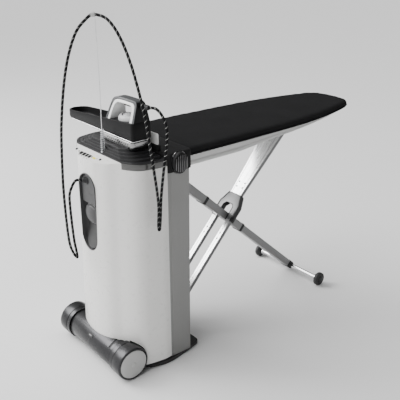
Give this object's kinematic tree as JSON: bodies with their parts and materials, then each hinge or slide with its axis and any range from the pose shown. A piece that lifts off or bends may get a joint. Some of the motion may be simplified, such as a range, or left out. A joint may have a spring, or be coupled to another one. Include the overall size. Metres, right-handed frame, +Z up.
{
  "type": "ironing system",
  "caption": "Wheeled steam generator tower carrying a height-adjustable ironing board on crossed legs, with an iron on its rest and a hose on a carrier rod.",
  "frame": {"origin": "on the floor, under the middle of the tower's upright, 56 mm behind the upright's back face", "axes": "+X from the tower along the board to its tip, +Y to the left seen from the tower, +Z up"},
  "size_m": [1.5096, 0.6091, 1.3997],
  "materials": {
    "shell_white": "satin gloss moulded",
    "column_grey": "satin grey lacquer",
    "dark_plastic": "fine textured",
    "gloss_trim": "high gloss",
    "recess_grey": "satin",
    "fairing_metal": "dark metallic moulded",
    "silver_aluminium": "satin anodised",
    "chrome_steel": "polished",
    "brushed_steel": "brushed",
    "handle_grey": "satin metallic",
    "tyre_rubber": "matte",
    "soft_rubber": "matte",
    "cover_fabric": "woven cotton",
    "pad_fabric": "felt",
    "hose_braid": "braided sleeve",
    "tank_plastic": "translucent moulded",
    "brass": "turned",
    "board_green": "laminate"
  },
  "bodies": {
    "root": {"base_plate": "dark_plastic", "column": "column_grey", "rear_shell": "shell_white", "recess_insert": "recess_grey", "hose_grommet": "soft_rubber", "deck": "dark_plastic", "deck_trim_band": "gloss_trim", "iron_rest": "silver_aluminium", "hose_rod": "chrome_steel", "wheel_fairing": "fairing_metal", "wheel_axle": "chrome_steel", "boiler": "silver_aluminium", "water_tank": "tank_plastic", "pump": "dark_plastic", "solenoid_valve": "brass", "control_board": "board_green", "steam_tube": "tank_plastic", "gas_spring_cylinder": "column_grey", "steam_hose": "hose_braid", "leg_pivot_bracket": "column_grey", "leg_pivot_pin": "chrome_steel"},
    "board": {"inner_column": "column_grey", "gas_spring_rod": "chrome_steel", "rear_cap": "dark_plastic", "rest_backplate": "shell_white", "board_frame": "silver_aluminium", "board_tray": "silver_aluminium", "pad": "pad_fabric", "cover": "cover_fabric", "leg_guide": "silver_aluminium", "blower_housing": "dark_plastic"},
    "fan": {"fan_impeller": "dark_plastic"},
    "knob_left": {"release_knob_left": "dark_plastic"},
    "knob_right": {"release_knob_right": "dark_plastic"},
    "leg_a": {"strut_left": "silver_aluminium", "strut_right": "silver_aluminium", "leg_fork": "column_grey", "leg_upper": "silver_aluminium", "leg_top_shaft": "chrome_steel", "cross_pin": "chrome_steel"},
    "leg_b": {"tube_upper": "column_grey", "collar_upper": "dark_plastic", "tube_lower": "silver_aluminium", "collar_lower": "dark_plastic", "tube_foot": "column_grey", "tube_end_cap": "dark_plastic", "foot_bar": "chrome_steel"},
    "foot_left": {"foot_left": "tyre_rubber"},
    "foot_right": {"foot_right": "tyre_rubber"},
    "wheel_left": {"wheel_left": "tyre_rubber"},
    "wheel_right": {"wheel_right": "tyre_rubber"},
    "iron": {"soleplate": "brushed_steel", "iron_body": "dark_plastic", "iron_handle": "handle_grey"},
    "trigger": {"steam_trigger": "dark_plastic"},
    "dial": {"heat_dial": "handle_grey"},
    "boot": {"hose_boot": "soft_rubber"},
    "flap": {"recess_flap": "recess_grey"},
    "power": {"power_button": "dark_plastic"},
    "steam": {"steam_button": "dark_plastic"}
  },
  "joints": [
    {"name": "height_adjust", "type": "slide", "parent": "root", "child": "board", "axis": [0, 0, 1], "range_m": [0, 0.125]},
    {"name": "leg_a_swing", "type": "hinge", "parent": "root", "child": "leg_a", "pos_m": [0.185, 0, 0.045], "axis": [0, 1, 0], "range_deg": [-10.6, 0.2]},
    {"name": "leg_b_swing", "type": "hinge", "parent": "leg_a", "child": "leg_b", "pos_m": [0.55049, 0, 0.44387], "axis": [0, 1, 0], "range_deg": [-0.2, 18.6]},
    {"name": "fan_spin", "type": "hinge", "parent": "board", "child": "fan", "pos_m": [0.36, 0, 0.835], "axis": [0, 0, 1], "continuous": true},
    {"name": "release_left", "type": "slide", "parent": "board", "child": "knob_left", "axis": [0, -1, 0], "range_m": [0, 0.003], "stiffness_N_per_m": 1200, "springref_m": -0.002},
    {"name": "release_right", "type": "slide", "parent": "board", "child": "knob_right", "axis": [0, 1, 0], "range_m": [0, 0.003], "stiffness_N_per_m": 1200, "springref_m": -0.002},
    {"name": "foot_left_spin", "type": "hinge", "parent": "leg_b", "child": "foot_left", "pos_m": [1.01124, 0.207, 0.0335], "axis": [0, 1, 0], "continuous": true},
    {"name": "foot_right_spin", "type": "hinge", "parent": "leg_b", "child": "foot_right", "pos_m": [1.01124, -0.207, 0.0335], "axis": [0, 1, 0], "continuous": true},
    {"name": "wheel_left_spin", "type": "hinge", "parent": "root", "child": "wheel_left", "pos_m": [-0.1305, 0.207, 0.07], "axis": [0, 1, 0], "continuous": true},
    {"name": "wheel_right_spin", "type": "hinge", "parent": "root", "child": "wheel_right", "pos_m": [-0.1305, -0.207, 0.07], "axis": [0, 1, 0], "continuous": true},
    {"name": "iron_lift", "type": "slide", "parent": "root", "child": "iron", "axis": [0, 0, 1], "range_m": [0, 0.12]},
    {"name": "steam_trigger_press", "type": "slide", "parent": "iron", "child": "trigger", "axis": [0, 0, 1], "range_m": [0, 0.003]},
    {"name": "heat_dial_turn", "type": "hinge", "parent": "iron", "child": "dial", "pos_m": [0, -0.08, 1.01798], "axis": [0, 0, 1], "range_deg": [-120, 120]},
    {"name": "boot_swivel", "type": "hinge", "parent": "iron", "child": "boot", "pos_m": [0, -0.169, 1.078], "axis": [0.101, -0.9897, 0.101], "range_deg": [-170, 170]},
    {"name": "recess_flap_open", "type": "hinge", "parent": "root", "child": "flap", "pos_m": [-0.125, 0.012, 0.68], "axis": [0, 1, 0], "range_deg": [0, 50]},
    {"name": "power_press", "type": "slide", "parent": "root", "child": "power", "axis": [0.3437, 0, -0.9391], "range_m": [0, 0.001], "stiffness_N_per_m": 600, "springref_m": -0.001},
    {"name": "steam_press", "type": "slide", "parent": "root", "child": "steam", "axis": [0.3437, 0, -0.9391], "range_m": [0, 0.001], "stiffness_N_per_m": 600, "springref_m": -0.001}
  ],
  "couplings": [
    {"joint": "leg_a_swing", "follows": "height_adjust", "rad_per_m": -1.45},
    {"joint": "leg_b_swing", "follows": "height_adjust", "rad_per_m": 2.55}
  ]
}
